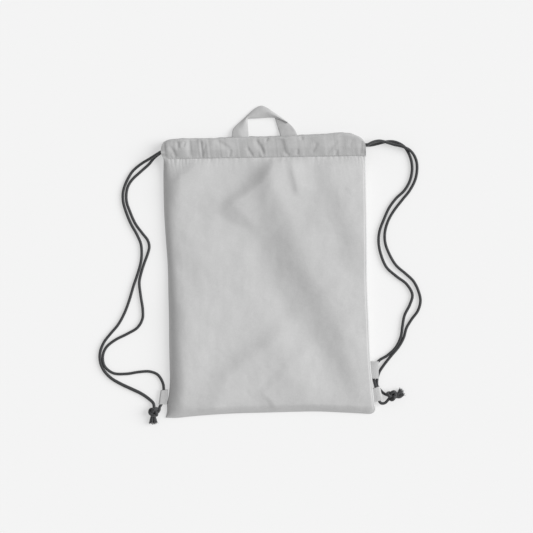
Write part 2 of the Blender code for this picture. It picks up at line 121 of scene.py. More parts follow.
# Plan outline of the bag: each edge is a smooth line through its points
LEFT_EDGE = [  # (y, x)
    (-203.6, -147.2), (-196, -145.6), (-184, -145.2), (-170, -142.6), (-155, -141.4), (-130, -141.6),
    (-100, -142.2), (-60, -142.6), (-30, -143.3), (20, -144.6), (52, -147), (90, -149.4), (125, -150.3),
    (150, -150.2), (167.2, -149.2)]
RIGHT_EDGE = [  # (y, x)
    (-198.2, 148), (-196.4, 152), (-193.5, 154.2), (-183, 153.3), (-157, 150.3), (-122, 147.2),
    (-60, 144.6), (-10, 142.6), (50, 141.9), (125, 141), (172, 140.4)]
BOTTOM_EDGE = [  # (x, y)
    (-147.2, -203.9), (-130, -204), (-113, -202.2), (-85, -199.8), (-56, -198), (1, -196.3),
    (40, -195.2), (72, -194.8), (110, -196.4), (134, -197.6), (148, -198.2), (155, -197)]
HEM_LINE = [(-153, 166.9), (141, 171.9)]  # (x, y)
TOP_EDGE = [  # (x, y)
    (-154, 185), (-152, 189.4), (-147, 193.8), (-140, 195.6), (-133, 196.7), (-110, 197.4),
    (-84.5, 197.6), (-50, 199.6), (1, 200.4), (41, 202), (86, 204.2), (109, 205.8), (120, 204.4),
    (126, 202), (133, 197.6), (137.5, 193.2), (141, 187)]
# Open ends of the channels: (y, x)
LEFT_OPENING = [
    (160, -149.6), (168, -150.2), (174, -152.4), (180, -153.2), (186, -152.4), (194, -149.0)]
RIGHT_OPENING = [(165, 139.6), (178, 139.5), (186, 139.1), (190, 138.4), (194, 136.9)]
SPLIT_X = -5  # where the left and right halves of the fabric meet
FLOOR_Z, FLOOR_HALF = -0.25, 40000


def smoothstep(t):
    t = np.clip(t, 0, 1)
    return t * t * (3 - 2 * t)


def steps(count):
    return np.linspace(0, 1, count)


def least(*arrays):
    return np.minimum.reduce(arrays)


def quarter_round(t):
    """From 1 down to 0 like a quarter of a circle, as t goes from 0 to 1."""
    return np.sqrt(1 - np.clip(t, 0, 1) ** 2)


def fade(distance, reach, power=1):
    """1 at no distance, 1/e at the reach, and then to 0. A power of 2 makes a bell."""
    return np.exp(-((distance / reach) ** power))


def line_value(points, at):
    """The second value at an array of first values, on a smooth line through the points."""
    first, second = (np.array(c, float) for c in zip(*points))
    slope = np.gradient(second, first)
    at = np.clip(np.asarray(at, float), first[0], first[-1])
    i = np.clip(np.searchsorted(first, at) - 1, 0, len(first) - 2)
    width = first[i + 1] - first[i]
    t = (at - first[i]) / width
    return (second[i] * (1 + 2 * t) * (1 - t) ** 2 + slope[i] * width * t * (1 - t) ** 2
            + second[i + 1] * t * t * (3 - 2 * t) + slope[i + 1] * width * t * t * (t - 1))


def smooth_path(points, step):
    """Points about a step apart along a centripetal Catmull-Rom curve through the given points."""
    p = np.array(points, float)
    p = np.vstack([2 * p[0] - p[1], p, 2 * p[-1] - p[-2]])
    k = np.concatenate([[0], np.cumsum(np.sqrt(np.linalg.norm(np.diff(p, axis=0), axis=1)))])
    fine = []
    for i in range(1, len(p) - 2):
        t = np.linspace(k[i], k[i + 1], 24, endpoint=False)[:, None]
        a = [p[j] + (p[j + 1] - p[j]) * (t - k[j]) / (k[j + 1] - k[j]) for j in range(i - 1, i + 2)]
        b = [a[j] + (a[j + 1] - a[j]) * (t - k[i - 1 + j]) / (k[i + 1 + j] - k[i - 1 + j])
             for j in (0, 1)]
        fine.append(b[0] + (b[1] - b[0]) * (t - k[i]) / (k[i + 1] - k[i]))
    fine = np.vstack([*fine, p[-2:-1]])
    run = path_run(fine)
    places = np.linspace(0, run[-1], max(2, round(run[-1] / step) + 1))
    return points_at(places, run, fine)


def path_run(path):
    """Length along a path at each of its points."""
    return np.concatenate([[0], np.cumsum(np.linalg.norm(np.diff(path, axis=0), axis=1))])


def points_at(places, run, path):
    """Points of a path where its run has the given values."""
    return np.stack([np.interp(places, run, path[:, c]) for c in range(path.shape[1])], -1)


# ---- meshes

def new_object(name, points, faces, material):
    """A smooth-shaded mesh object from points in millimetres."""
    mesh = bpy.data.meshes.new(name)
    mesh.from_pydata((np.asarray(points) * MM).tolist(), [], faces)
    mesh.shade_smooth()
    mesh.materials.append(material)
    made = bpy.data.objects.new(name, mesh)
    bpy.context.scene.collection.objects.link(made)
    return made


def quads(index):
    """The faces between the points of a grid of indices."""
    return np.stack([index[:-1, :-1], index[:-1, 1:], index[1:, 1:], index[1:, :-1]], -1).reshape(-1, 4)


def grid_object(name, points, material, around=False, uv=None):
    """A mesh from a grid of points. around joins the last column to the first one.

    uv is the length of one cell across and along the grid, for materials that follow the piece.
    """
    rows, columns = points.shape[:2]
    index = np.arange(rows * columns).reshape(rows, columns)
    if around:
        index = np.hstack([index, index[:, :1]])
    made = new_object(name, points.reshape(-1, 3), quads(index).tolist(), material)
    if uv is not None:
        r, c = np.meshgrid(np.arange(rows - 1), np.arange(index.shape[1] - 1), indexing="ij")
        across = np.stack([c, c + 1, c + 1, c], -1) * uv[0]
        along = np.stack([r, r, r + 1, r + 1], -1) * uv[1]
        corners = np.stack([across, along], -1).astype(np.float32).ravel()
        made.data.uv_layers.new(name="weave").data.foreach_set("uv", corners)
    return made


def frames_along(path):
    """(tangents, normals, binormals) along a path that doesn't start upright, turning little."""
    tangent = np.gradient(path, axis=0)
    tangent /= np.linalg.norm(tangent, axis=1)[:, None]
    normal = np.zeros_like(path)
    side = np.cross(tangent[0], (0, 0, 1))
    for i, t in enumerate(tangent):
        side = side - t * (side @ t)
        side /= np.linalg.norm(side)
        normal[i] = side
    return tangent, normal, np.cross(tangent, normal)


BRAID_COUNT = 6  # bumps round the cord
BRAID_PITCH = 3.1  # length of one diamond
BRAID_DEPTH = 0.24


def cord_rings(path, radius, around, bumps=True):
    """Rings of points round a path: the braid stands out as two families of crossing yarns."""
    _, normal, binormal = frames_along(path)
    turn = np.linspace(0, 2 * math.pi, around, endpoint=False)
    r = np.repeat(np.asarray(radius, float)[:, None], around, 1)
    if bumps:
        u = BRAID_COUNT * turn[None, :] / (2 * math.pi)
        s = path_run(path)[:, None] / BRAID_PITCH
        waves = np.cos(2 * math.pi * (u + s)) * np.cos(2 * math.pi * (u - s))
        r = r - BRAID_DEPTH * (0.5 - 0.5 * waves)
    spokes = (normal[:, None, :] * np.cos(turn)[None, :, None]
              + binormal[:, None, :] * np.sin(turn)[None, :, None])
    return path[:, None, :] + r[..., None] * spokes


def braided(name, path, radius, material, around=24, taper=0):
    """A braided cord along a path. taper is the number of rings over which each end is drawn in."""
    radius = np.broadcast_to(np.asarray(radius, float), len(path)).copy()
    for i in range(taper):
        drawn_in = math.sin((i + 0.4) / taper * math.pi / 2)
        radius[i] *= drawn_in
        radius[-1 - i] *= drawn_in
    rings = cord_rings(path, radius, around)
    step = np.linalg.norm(np.diff(path, axis=0), axis=1).mean()
    made = grid_object(name, rings, material, around=True, uv=(BRAID_COUNT / around, step / BRAID_PITCH))
    close_ends(made.data, len(path), around)
    return made


def close_ends(mesh, rows, columns):
    """Fills the two ends of a tube whose rings have that many columns."""
    form = bmesh.new()
    form.from_mesh(mesh)
    form.verts.ensure_lookup_table()
    form.faces.new([form.verts[i] for i in range(columns)])
    form.faces.new([form.verts[(rows - 1) * columns + i] for i in reversed(range(columns))])
    form.to_mesh(mesh)
    form.free()


def join_tubes(name, tubes, material):
    """One mesh of several plain tubes, each a path with its radii and the number of its sides."""
    points, faces = [], []
    start = 0
    for path, radius, around in tubes:
        points.append(cord_rings(path, radius, around, bumps=False).reshape(-1, 3))
        for a in range(start, start + (len(path) - 1) * around, around):
            for j in range(around):
                k = (j + 1) % around
                faces.append((a + j, a + k, a + around + k, a + around + j))
        end = start + (len(path) - 1) * around
        faces.append(tuple(start + j for j in reversed(range(around))))
        faces.append(tuple(end + j for j in range(around)))
        start = end + around
    return new_object(name, np.vstack(points), faces, material)


def thicken(made, amount):
    """Gives a sheet its thickness, inwards."""
    shell = made.modifiers.new("thickness", "SOLIDIFY")
    shell.thickness = amount * MM
    shell.offset = -1


# ---- materials

def grey(level):
    return (level, level, level)


class Look:
    """A material, and what its node tree is built with."""

    def __init__(self, name, colour, roughness, sheen=0.0, coordinates="Object"):
        self.material = bpy.data.materials.new(name)
        self.material.use_nodes = True
        self.tree = self.material.node_tree
        self.shader = self.tree.nodes["Principled BSDF"].inputs
        self.place = self.tree.nodes.new("ShaderNodeTexCoord").outputs[coordinates]
        self.shader["Base Color"].default_value = (*colour, 1)
        self.shader["Roughness"].default_value = roughness
        self.shader["Specular IOR Level"].default_value = 0.3
        self.shader["Sheen Weight"].default_value = sheen
        self.shader["Sheen Roughness"].default_value = 0.5

    def feed(self, value, socket):
        """Gives a socket a number, a colour or a link from another socket."""
        if isinstance(value, (int, float)):
            socket.default_value = value
        elif isinstance(value, tuple):
            socket.default_value = (*value, 1)
        else:
            self.tree.links.new(value, socket)

    def node(self, kind, **values):
        """A node of a kind, its inputs and its own settings given by name."""
        made = self.tree.nodes.new(kind)
        for key, value in values.items():
            if key in made.inputs:
                self.feed(value, made.inputs[key])
            else:
                setattr(made, key, value)
        return made

    def math(self, operation, *values):
        made = self.node("ShaderNodeMath", operation=operation)
        for value, socket in zip(values, made.inputs):
            self.feed(value, socket)
        return made.outputs[0]

    def mix(self, factor, a, b):
        made = self.node("ShaderNodeMix", data_type="RGBA")
        for value, i in ((factor, 0), (a, 6), (b, 7)):
            self.feed(value, made.inputs[i])
        return made.outputs[2]

    def noise(self, **values):
        return self.node("ShaderNodeTexNoise", Vector=self.place, **values).outputs["Fac"]

    def bands(self, pitch, direction):
        """A sine across the surface, 0 to 1, one wave for each pitch."""
        return self.node("ShaderNodeTexWave", wave_type="BANDS", bands_direction=direction,
                         Vector=self.place, Scale=2 * math.pi / (20 * pitch),
                         Distortion=0.0).outputs["Fac"]

    def bump(self, height, strength, depth):
        """Bumps up to a depth in millimetres."""
        made = self.node("ShaderNodeBump", Height=height, Strength=strength, Distance=depth * MM)
        self.feed(made.outputs["Normal"], self.shader["Normal"])


def cloth_material(name, level, pitch=0.62, depth=0.10, coordinates="Object", unit=MM):
    """A plain weave: crossing yarns at a real pitch, slubs, and a slow change of tone."""
    look = Look(name, grey(level), 0.86, 0.12, coordinates)
    warp, weft = look.bands(pitch * unit, "X"), look.bands(pitch * unit, "Y")
    crossing = look.math("MULTIPLY", warp, weft)
    weave = look.math("SUBTRACT", look.math("MAXIMUM", warp, weft), crossing)
    slub = look.noise(Scale=0.35 / unit, Detail=3.0)
    cloud = look.noise(Scale=0.02 / unit, Detail=2.0)
    tone = 0.05  # how much lighter the yarns are; the gaps are 3.2 times as much darker
    yarn = look.mix(weave, grey(level * (1 - 3.2 * tone)), grey(min(level * (1 + tone), 1)))
    soft = look.mix(0.35, grey(level), yarn)
    slubs = look.math("MULTIPLY_ADD", slub, 0.12, 0.94)
    clouds = look.math("MULTIPLY_ADD", cloud, 0.05, 0.975)
    scaled = look.node("ShaderNodeVectorMath", operation="SCALE")
    look.feed(soft, scaled.inputs[0])
    look.feed(look.math("MULTIPLY", slubs, clouds), scaled.inputs["Scale"])
    look.feed(scaled.outputs[0], look.shader["Base Color"])
    look.feed(look.math("MULTIPLY_ADD", slub, 0.12, 0.78), look.shader["Roughness"])
    look.bump(look.math("ADD", weave, slub), 0.5, depth)
    return look.material


def cord_material():
    """Charcoal braid: the yarns' fibres run along each family; shade is painted into the valleys between
    bumps.
    """
    look = Look("cord", (0.03, 0.031, 0.033), 0.62, 0.25, "UV")
    u, v = look.node("ShaderNodeSeparateXYZ", Vector=look.place).outputs[:2]
    waves = [look.math("COSINE", look.math("MULTIPLY", look.math(operation, u, v), 2 * math.pi))
             for operation in ("ADD", "SUBTRACT")]
    level = look.math("MULTIPLY_ADD", look.math("MULTIPLY", *waves), 0.5, 0.5)
    fibre = look.noise(Scale=9.0, Detail=4.0, Roughness=0.65)
    # the ramp paints shade: near black in the braid's valleys, lighter on its crests
    ramp = look.node("ShaderNodeValToRGB", Fac=look.math("MULTIPLY", level, fibre))
    valley, crest = ramp.color_ramp.elements
    valley.position, valley.color = 0.05, (0.012, 0.0125, 0.0135, 1)
    crest.position, crest.color = 0.75, (0.085, 0.087, 0.092, 1)
    look.feed(ramp.outputs[0], look.shader["Base Color"])
    look.feed(look.math("MULTIPLY_ADD", fibre, 0.3, 0.42), look.shader["Roughness"])
    look.bump(look.math("ADD", level, fibre), 0.6, 0.15)
    return look.material


def thread_material():
    look = Look("thread", grey(0.34), 0.5, 0.2)
    twist = look.noise(Scale=2600.0, Detail=2.0)
    look.feed(look.mix(twist, grey(0.24), grey(0.38)), look.shader["Base Color"])
    look.bump(twist, 0.4, 0.05)
    return look.material


def label_material():
    """Woven tape with fine ribs across it, a little uneven in tone."""
    look = Look("label", grey(0.52), 0.7, 0.1)
    ribs, fine = look.bands(0.5 * MM, "Y"), look.bands(0.34 * MM, "X")
    spots = look.math("MULTIPLY", look.noise(Scale=900.0, Detail=2.0), 0.35)
    both = look.math("MULTIPLY", ribs, look.math("ADD", fine, 0.4))
    colour = look.mix(spots, look.mix(both, grey(0.40), grey(0.56)), grey(0.42))
    look.feed(colour, look.shader["Base Color"])
    look.bump(both, 0.5, 0.08)
    return look.material


def floor_material():
    """A matt white surface, lit a little from beneath like a light table, so shadows stay faint."""
    look = Look("floor", grey(0.38), 0.95)
    grain = look.noise(Scale=300.0)
    look.feed(look.mix(grain, grey(0.375), grey(0.385)), look.shader["Base Color"])
    look.shader["Emission Color"].default_value = (1, 1, 1, 1)
    look.shader["Emission Strength"].default_value = 0.495
    return look.material


# ---- cords

def stands_for(piece, slot, *nodes):
    """Hides the CAD nodes that a piece replaces. The piece and its slot are not used."""
    if nodes:
        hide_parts(*nodes)


def make_cords(material, knotted_on):
    """The free strands, the hidden runs through the channels and the far turns.

    knotted_on, the knot and frayed ends that go with each strand, is not used.
    """
    for name, (route, start, end, knotted) in STRANDS.items():
        side = name.split("_")[0]
        route = [(*point, CORD_ON_FLOOR)[:3] for point in route]
        first = np.array(route[0], float)
        inward = INWARD[side]
        lead = [first + (inward * LEAD_IN, 0, 0), first + (inward * LEAD_IN / 2, 0.4 * inward, 0)]
        path = smooth_path([*lead, *route, knotted], STRAND_STEP)
        at, share, extra = FLATTENED.get(name, (0, 1, 0))
        radius = CORD_R + extra * fade(steps(len(path)) - at, share, 2)
        strand = braided(f"{name}_braid", path, radius, material, taper=3)
        stands_for(strand, "cord", name)
        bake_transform(strand)

    def hidden(name, path):
        piece = braided(f"{name}_braid", path, CORD_D / 2, material, 16)
        stands_for(piece, "cord", name)
        return piece

    for side, (turn_x, front_y, back_y) in RUNS.items():
        inward = INWARD[side]
        far = "right" if side == "left" else "left"
        # each run starts inside its free strand's end
        start_x = EXITS[side][0] + inward * (LEAD_IN - 4)
        front = np.array([turn_x, front_y, FRONT_CORD_Z])
        back = np.array([turn_x, back_y, BACK_CORD_Z])
        for face, place in (("front", front), ("back", back)):
            start_y = STRANDS[f"{side}_cord_{face}_strand"][0][0][1]
            path = smooth_path([(start_x, start_y, place[2]), tuple(place)], RUN_STEP)
            run = hidden(f"{side}_cord_{face}_run", path)
            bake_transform(run)
        middle, arm = (front + back) / 2, (front - back) / 2
        bulge = np.array([inward * np.linalg.norm(arm), 0, 0])
        turns = np.linspace(0, math.pi, 30)[:, None]
        path = middle + arm * np.cos(turns) + bulge * np.sin(turns)
        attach(hidden(f"{side}_cord_turn", path), f"mouth_{far}")


def trefoil(centre, across, height, turn, lean):
    """An overhand knot's line, cut open at the middle: two ends and three lobes."""
    t = np.linspace(0.45, 2 * math.pi - 0.45, 90)
    flat = np.stack([np.sin(t) + 2 * np.sin(2 * t), np.cos(t) - 2 * np.cos(2 * t)], -1) * across / 3
    z = -np.sin(3 * t) * height
    c, s = math.cos(turn), math.sin(turn)
    x, y = flat[:, 0] * c - flat[:, 1] * s, flat[:, 0] * s + flat[:, 1] * c
    c, s = math.cos(lean), math.sin(lean)
    return np.stack([x, y * c - z * s, y * s + z * c], -1) + np.array(centre)


# strand: how far along it the braid is wider, over what share, by how much
FLATTENED = {"left_cord_front_strand": (0.9, 0.09, 0.45)}
# side: centre, size across, turn in plan, lean to the side, where the cords come in, where they go out
KNOTS = {
    "left": ((-163.6, -194.6, 7.2), 6.0, 0.5, 0.35, (-162.4, -190.0, 5.6), (-165.0, -201.0, 5.0)),
    "right": ((177.4, -171.0, 7.4), 6.4, 2.2, -0.3, (171.8, -172.6, 6.2), (183.8, -171.2, 5.4)),
}
# name: the line of a cord's end beyond the knot
CORD_ENDS = {
    "left_cord_end_a": [(-165.8, -198.6, 5.8), (-166.8, -204.2, 4.4), (-167.6, -210.0, 3.6)],
    "left_cord_end_b": [(-163.4, -198.6, 5.6), (-163.0, -204.2, 4.2), (-162.2, -209.8, 3.6)],
    "right_cord_end_a": [(182.8, -173.0, 6.0), (188.8, -173.2, 4.8), (193.4, -169.6, 3.8)],
    "right_cord_end_b": [(182.4, -169.6, 5.8), (187.2, -168.6, 4.8), (190.6, -164.8, 3.8)],
}


def make_knots(material):
    """Two knots and four frayed ends. Returns those that go with each strand."""
    knotted_on = {name: [] for name in STRANDS}
    for side, (centre, across, turn, lean, enter, leave) in KNOTS.items():
        path = smooth_path([enter, *trefoil(centre, across, 2.6, turn, lean), leave], KNOT_STEP)
        wrap = np.linspace(0, 2 * math.pi * 1.15, 60)
        away = np.array(leave) - centre
        away /= np.linalg.norm(away)
        side_a = np.cross(away, (0, 0, 1))
        side_a /= np.linalg.norm(side_a)
        side_b = np.cross(away, side_a)
        collar = (centre + away * (3.2 + 1.2 * wrap[:, None] / wrap[-1])
                  + 3.5 * (side_a * np.cos(wrap)[:, None] + side_b * np.sin(wrap)[:, None]))
        parts = [braided("loops", path, 2.45, material, 20, taper=3),
                 braided("collar", smooth_path(collar, KNOT_STEP), 2.2, material, 20, taper=3)]
        knot = joined(f"{side}_knot_braid", parts)
        stands_for(knot, "cord", f"{side}_knot")
        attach(knot, f"{side}_tab")
        knotted_on[f"{side}_cord_front_strand"].append(knot)
    rng = np.random.default_rng(11)
    for name, points in CORD_ENDS.items():
        side = name.split("_")[0]
        end = frayed_end(name, np.array(points, float), rng, material)
        stands_for(end, "cord", name)
        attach(end, f"{side}_tab")
        face = "front" if name.endswith("a") else "back"
        knotted_on[f"{side}_cord_{face}_strand"].append(end)
    return knotted_on


def joined(name, parts):
    """The parts as one object of that name."""
    with bpy.context.temp_override(active_object=parts[0], selected_editable_objects=parts,
                                   selected_objects=parts):
        bpy.ops.object.join()
    parts[0].name = name
    parts[0].data.name = name
    return parts[0]


YARNS = 64  # in each frayed end
YARN_FLOOR = 0.35  # the lowest that a yarn hangs


def frayed_end(name, points, rng, material):
    """A short length of braid that loosens and opens into yarns."""
    path = smooth_path(points, KNOT_STEP)
    whole = int(len(path) * 0.85)  # rings before the braid is open
    stub = braided(f"{name}_stub", path[:whole], np.linspace(1.95, 3.1, whole), material, 20)
    tangent, normal, binormal = frames_along(path)
    root, ahead = path[whole - 3], tangent[whole - 1]
    tubes = []
    for _ in range(YARNS):
        turn, out = rng.uniform(0, 2 * math.pi), math.sqrt(rng.uniform(0.02, 1))
        spoke = normal[whole] * math.cos(turn) + binormal[whole] * math.sin(turn)
        long = rng.uniform(2.4, 6.0)
        spread = out * rng.uniform(0.3, 0.9)
        bend = rng.normal(0, 0.35, 3)
        t = steps(6)[:, None]
        yarn = (root + spoke * 2.5 * out + ahead * t * long
                + spoke * spread * t ** 1.6 * long * 0.5 + bend * t ** 2 * 1.4)
        yarn[:, 2] = np.maximum(yarn[:, 2], YARN_FLOOR)
        tubes.append((yarn, np.linspace(0.36, 0.18, 6), 5))
    fibres = join_tubes(f"{name}_yarns", tubes, material)
    return joined(f"{name}_frayed", [stub, fibres])


# ---- fabric

# Folds of the front panel: crest in plan from the top down, (west width, east width), height
FOLDS = [
    ([(10, 176), (6, 158), (12, 135), (22, 112), (33, 86), (46, 55), (55, 27), (68, 2), (82, -20),
      (94, -45), (104, -72), (117, -105), (126, -132), (132, -160), (137, -190), (142, -230)],
     (27, 80), 4.4),
    ([(38, 66), (48, 44), (58, 22), (70, 0), (84, -24), (96, -50)], (74, 90), 1.4),
    ([(17, 178), (8, 156), (-8, 132), (-30, 115), (-52, 98), (-62, 82)], (13, 34), 3.9),
    ([(-2, 130), (2, 100), (10, 74), (16, 48), (12, 22), (4, 2)], (20, 26), 0.9),
    ([(-66, 82), (-53, 66), (-33, 57), (-15, 44), (-8, 20), (0, -13), (18, -36), (25, -58), (14, -84)],
     (24, 30), -1.7),
    ([(93, 172), (96, 140), (109, 108), (125, 80), (136, 56), (139, 40), (135, 26), (127, 2)],
     (27, 60), 3.9),
    ([(33, 178), (37, 152), (42, 130), (46, 112)], (7, 26), 1.7),
    ([(-80, 190), (-95, 167), (-107, 153), (-121, 140), (-137, 127), (-162, 106)], (12, 26), 2.7),
    ([(138, 140), (124, 130), (112, 120)], (7, 12), 0.35),
    ([(26, -84), (8, -99), (-10, -112), (-34, -129), (-52, -146), (-63, -163), (-71, -183), (-78, -208),
      (-85, -240)], (20, 230), 3.5),
    ([(-165, -146), (-140, -166), (-118, -182), (-99, -199), (-78, -224)], (16, 50), 1.7),
    ([(-8, -164), (6, -178), (15, -200)], (6, 60), 0.9),
    ([(-112, 40), (-94, 10), (-88, -30), (-94, -70)], (18, 40), 0.7),
    ([(58, -90), (70, -130), (74, -165), (76, -230)], (62, 90), 2.3),
]
# Creases of the front channel: top and lower end in plan, half width, depth
CREASES = [
    ((-148.4, 193), (-146.6, 170), 1.6, 0.3), ((-139.5, 185), (-130.4, 170), 2.2, 1.0),
    ((-128.6, 193), (-128, 182), 1.9, 0.9), ((-117.6, 193), (-121, 184), 1.7, 0.8),
    ((-112.6, 196), (-111.4, 172), 2.6, 1.1), ((-95.4, 193), (-94.4, 176), 2.0, 0.9),
    ((-89, 188), (-94.6, 170), 1.8, 0.6), ((-74.6, 195), (-53, 180), 3.0, 0.9),
    ((-53, 180), (-55.6, 170), 2.0, 0.9), ((-30, 184), (-22.4, 171), 2.2, 1.0),
    ((-17.4, 195), (-6.6, 176), 2.8, 1.1), ((-11.6, 189), (-6.2, 173), 2.0, 0.6),
    ((-0.6, 199), (-2.4, 192), 1.6, 0.8), ((18.6, 198), (23.4, 176), 3.6, 1.4),
    ((23.4, 177), (30.6, 172), 2.2, 0.8), ((47.4, 201), (48.6, 194), 1.8, 0.8),
    ((42.6, 181), (41.2, 173), 1.8, 0.8), ((69.6, 190), (63, 176), 2.6, 0.9),
    ((98.6, 193), (83, 176), 3.2, 0.8), ((98, 180), (97.6, 172), 1.8, 0.7),
    ((120, 196), (117, 184), 2.6, 0.5), ((133, 190), (132, 174), 1.8, 0.5),
    ((-128, 196), (-124, 172), 9, 1.0), ((-104, 197), (-108, 172), 7, 0.9),
    ((8, 199), (14, 174), 8, 1.2), ((-44, 196), (-40, 174), 9, 0.7), ((58, 200), (54, 176), 7, 0.7),
    ((108, 202), (106, 178), 8, 0.8),
]


def along_line(line, x, y):
    """(distance to the east, share along) of points from a line in plan that runs down the bag.

    Each is a smooth mean over the line's nearest stretches, so that no crease shows inside a bend.
    """
    step = 5
    path = smooth_path(line, step)
    way = np.gradient(path, axis=0)
    way /= np.linalg.norm(way, axis=1)[:, None]
    dx, dy = x[..., None] - path[:, 0], y[..., None] - path[:, 1]
    apart = dx ** 2 + dy ** 2
    weight = np.exp(-(apart - apart.min(axis=-1, keepdims=True)) / 130)
    weight /= weight.sum(axis=-1, keepdims=True)
    off = (weight * (dy * way[:, 0] - dx * way[:, 1])).sum(axis=-1)
    ahead = (dx * way[:, 0] + dy * way[:, 1]) / step
    share = (weight * (np.arange(len(path)) + ahead)).sum(axis=-1)
    return off, share / (len(path) - 1)


def fold_height(x, y):
    height = np.zeros_like(x)
    for line, (west, east), size in FOLDS:
        d, t = along_line(line, x, y)
        height += (size * fade(d, np.where(d < 0, west, east), 2)
                   * smoothstep(t / 0.3 + 0.5) * smoothstep((1 - t) / 0.25 + 0.1))
    return height


def fine_noise(x, y, size, seed):
    """Smooth noise, about -1 to 1, with features of a size, at arrays of x and y of any one shape."""
    values = [noise.noise((a / size, b / size, seed)) for a, b in zip(np.ravel(x), np.ravel(y))]
    return np.reshape(values, np.shape(x))


def pucker_field(x, seed, spacing):
    """Uneven ripples along the hem: a sum of narrow ridges at seeded places. -1 to 1."""
    rng = np.random.default_rng(seed)
    total = np.zeros_like(x)
    at = -158.0
    while at < 150:
        dense = 1.0 if at < -80 else 0.75
        width = rng.uniform(0.9, 1.9)
        total += dense * rng.uniform(-1, 1) * fade(x - at, width, 2)
        at += rng.uniform(0.5, 1.5) * spacing
    return total


BELLY = 6.6  # how far the front panel stands up over its edges
HEM_Z = 14.6
CLOTH_T = 0.45


def front_height(x, y, left, right, bottom, hem):
    """Height of the front panel's outer face, from places in plan and distances from the edges."""
    # the left side rolls over slowly, and the right side stands steep
    roll = 5.6 + 3.2 * smoothstep((80 - y) / 200)
    up = 1 - fade(bottom, 13)
    fill = (1 - fade(left, roll)) * (1 - 0.4 * smoothstep(left / 290)) * (1 - fade(right, 0.8, 1.5)) * up
    z = 1.5 + 1.3 * (1 - fade(least(left, right, bottom), 1.1)) + BELLY * fill
    z += 4.2 * up * (1 - fade(left, 6)) * (1 - fade(right, 0.8))
    z -= 0.5 * fade(right - 3.4, 1.0, 2)
    low_left = smoothstep((15 - y) / 70)
    z += 4.6 * low_left * left / 24 * np.exp(1 - left / 24) * (1 - fade(bottom, 5))
    inner = smoothstep(least(left / 26, bottom / 14 + 0.1, right / 1.3))
    z += inner * (0.75 * fine_noise(x, y, 46, 2.0) + 0.5 * fine_noise(x, y, 21, 7.0))
    z += 0.13 * fine_noise(x, y, 8, 5.0)
    # up to the channel
    sides = least(left, right)
    near = fade(hem, 22 - 11 * fade(sides, 9))
    z = z * (1 - near) + (HEM_Z - 1.2 * fade(sides, 5)) * near
    z += 1.5 * fold_height(x, y) * inner * (1 - fade(hem, 9, 1.3))
    # short gathers below the hem stitches
    short = 0.62 * pucker_field(x + 0.05 * hem, 3, 3.4) * fade(hem, 7.5, 1.4)
    z += short * smoothstep(hem / 0.8 + 0.3)
    z += 0.4 * pucker_field(x - 0.2 * hem, 8, 7.5) * fade(hem, 15)
    return z


def panel_grid(spacing):
    """x, y and the distances from the left, the right, the bottom and the hem, all over a panel."""
    # rows and columns are closer at the edges, where the cloth turns over
    u, v = np.meshgrid(*(at - closer * np.sin(2 * math.pi * at) / (2 * math.pi) for at, closer in (
        (steps(int(300 / spacing)), 0.6), (steps(int(372 / spacing)), 0.5))))
    x, y = -145 + 290 * u, -200 + 370 * v
    for _ in range(6):
        bottom, hem = line_value(BOTTOM_EDGE, x), line_value(HEM_LINE, x)
        y = bottom + (hem - bottom) * v
        left, right = line_value(LEFT_EDGE, y), line_value(RIGHT_EDGE, y)
        x = left + (right - left) * u
    return x, y, [np.maximum(d, 0) for d in (x - left, right - x, y - bottom, hem - y)]


def grid_normals(points, around):
    """Outward unit normals of a grid whose faces turn the way grid_object makes them."""
    along = np.gradient(points, axis=0)
    if around:
        across = (np.roll(points, -1, 1) - np.roll(points, 1, 1)) / 2
    else:
        across = np.gradient(points, axis=1)
    normal = np.cross(across, along)
    return normal / np.maximum(np.linalg.norm(normal, axis=2), 1e-9)[..., None]


def shell_object(name, outer, normals, thickness, material, around=False):
    """A cloth layer with two faces and closed rims, shaded by the normals of the uncut whole."""
    rows, columns = outer.shape[:2]
    points = np.concatenate([outer.reshape(-1, 3), (outer - normals * thickness).reshape(-1, 3)])
    top = np.arange(rows * columns).reshape(rows, columns)
    low = top + rows * columns
    if around:
        top, low = np.hstack([top, top[:, :1]]), np.hstack([low, low[:, :1]])
    faces = [quads(top), quads(low)[:, [0, 3, 2, 1]]]
    rims = [(top[0], low[0]), (top[-1, ::-1], low[-1, ::-1])]
    if not around:
        rims += [(top[::-1, 0], low[::-1, 0]), (top[:, -1], low[:, -1])]
    for upper, lower in rims:
        faces.append(np.stack([upper[1:], upper[:-1], lower[:-1], lower[1:]], -1))
    made = new_object(name, points, np.concatenate(faces).tolist(), material)
    both = np.concatenate([normals.reshape(-1, 3), -normals.reshape(-1, 3)])
    made.data.normals_split_custom_set_from_vertices(both.tolist())
    return made


def gather(piece):
    """Bakes a piece's transform into its mesh."""
    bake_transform(piece)


def make_panel(name, x, y, z, fabric, rests_on=()):
    """Two pieces that meet at SPLIT_X, one for the left side and one for the right.

    A grid whose columns run from right to left faces down.
    """
    points = np.stack([x, y, z], -1)
    normals = grid_normals(points, around=False)
    middle = int(np.argmin(np.abs(x[len(x) // 2] - SPLIT_X)))
    sides = ("left", "right") if x[0, 0] < x[0, -1] else ("right", "left")
    for side, part in zip(sides, (slice(0, middle + 1), slice(middle, None))):
        piece = shell_object(f"{name}_{side}", points[:, part], normals[:, part], CLOTH_T, fabric)
        gather(piece)
        stands_for(piece, "fabric", name)


def make_panels(fabric):
    x, y, distances = panel_grid(1.3)
    make_panel("front_panel", x, y, front_height(x, y, *distances), fabric, rests_on=["back_panel"])
    z = 0.25 + 1.15 * fade(least(*distances[:3]), 1.6) + 0.12 * fine_noise(x, y, 40, 9.0)
    z = np.maximum(z, 0.1) + 2.4 * fade(distances[3], 9)
    make_panel("back_panel", *(a[:, ::-1] for a in (x, y, z)), fabric)


